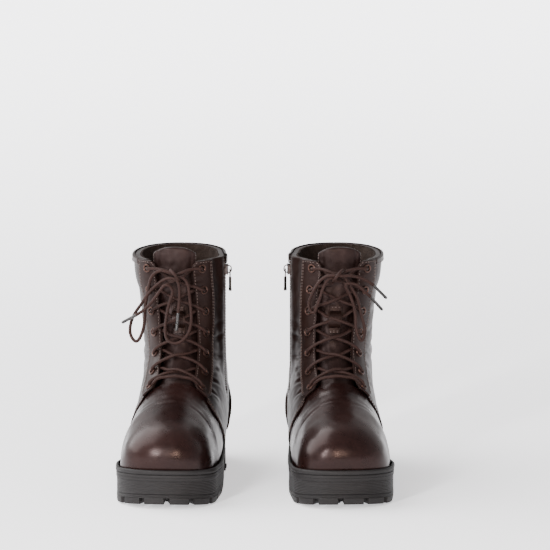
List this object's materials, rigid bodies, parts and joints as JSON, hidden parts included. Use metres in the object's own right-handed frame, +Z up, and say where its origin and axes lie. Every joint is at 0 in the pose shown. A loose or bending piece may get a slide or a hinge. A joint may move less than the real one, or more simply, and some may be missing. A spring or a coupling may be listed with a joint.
{
  "type": "lace-up ankle boots",
  "caption": "Pair of dark brown leather lace-up ankle boots with inner-side zips, padded tongues and thick lugged platform soles with separate heels.",
  "frame": {"origin": "middle of the pair's bounding box, on the floor", "axes": "+X from the wearer's right boot to the left boot, +Y from the toes to the heels, +Z up"},
  "size_m": [0.2784, 0.2804, 0.2358],
  "materials": {
    "leather": "smooth, waxed, dark brown",
    "leather_edge": "folded edge, dark brown",
    "rubber": "matt black",
    "lining": "short pile",
    "insulation": "felted wadding",
    "board": "fibre board",
    "steel": "plain",
    "lace": "braided, dark brown",
    "zip_metal": "dark gunmetal",
    "zip_tape": "woven, black",
    "aglet": "black"
  },
  "bodies": {
    "boots": {"right_midsole": "rubber", "right_outsole": "rubber", "right_heel_block": "rubber", "right_shank": "steel", "right_insole_board": "board", "right_footbed": "lining", "right_vamp": "leather", "right_quarter_lateral": "leather", "right_quarter_medial": "leather", "right_facing_medial": "leather", "right_facing_lateral": "leather", "right_heel_counter_cover": "leather", "right_heel_counter": "board", "right_back_strip": "leather", "right_top_binding": "leather_edge", "right_lining": "lining", "right_insulation": "insulation", "right_toe_puff": "board", "right_tongue": "leather", "right_lace_keeper": "leather", "right_zip_tape": "zip_tape", "right_zip_teeth_front": "zip_metal", "right_zip_teeth_rear": "zip_metal", "right_zip_garage": "leather", "right_lace": "lace", "right_aglet_inner": "aglet", "right_aglet_outer": "aglet", "left_midsole": "rubber", "left_outsole": "rubber", "left_heel_block": "rubber", "left_shank": "steel", "left_insole_board": "board", "left_footbed": "lining", "left_vamp": "leather", "left_quarter_lateral": "leather", "left_quarter_medial": "leather", "left_facing_medial": "leather", "left_facing_lateral": "leather", "left_heel_counter_cover": "leather", "left_heel_counter": "board", "left_back_strip": "leather", "left_top_binding": "leather_edge", "left_lining": "lining", "left_insulation": "insulation", "left_toe_puff": "board", "left_tongue": "leather", "left_lace_keeper": "leather", "left_zip_tape": "zip_tape", "left_zip_teeth_front": "zip_metal", "left_zip_teeth_rear": "zip_metal", "left_zip_garage": "leather", "left_lace": "lace", "left_aglet_inner": "aglet", "left_aglet_outer": "aglet"},
    "right_slider": {"right_zip_slider": "zip_metal"},
    "right_pull": {"right_zip_pull": "zip_metal"},
    "left_slider": {"left_zip_slider": "zip_metal"},
    "left_pull": {"left_zip_pull": "zip_metal"}
  },
  "joints": [
    {"name": "right_zip_slide", "type": "slide", "parent": "boots", "child": "right_slider", "axis": [0, 0, -1], "range_m": [0, 0.112]},
    {"name": "right_pull_hinge", "type": "hinge", "parent": "right_slider", "child": "right_pull", "pos_m": [-0.02564, 0.05257, 0.208], "axis": [-0.0785, -0.9969, 0], "range_deg": [0, 150]},
    {"name": "left_zip_slide", "type": "slide", "parent": "boots", "child": "left_slider", "axis": [0, 0, -1], "range_m": [0, 0.112]},
    {"name": "left_pull_hinge", "type": "hinge", "parent": "left_slider", "child": "left_pull", "pos_m": [0.03011, 0.05458, 0.208], "axis": [-0.0436, 0.999, 0], "range_deg": [0, 150]}
  ]
}
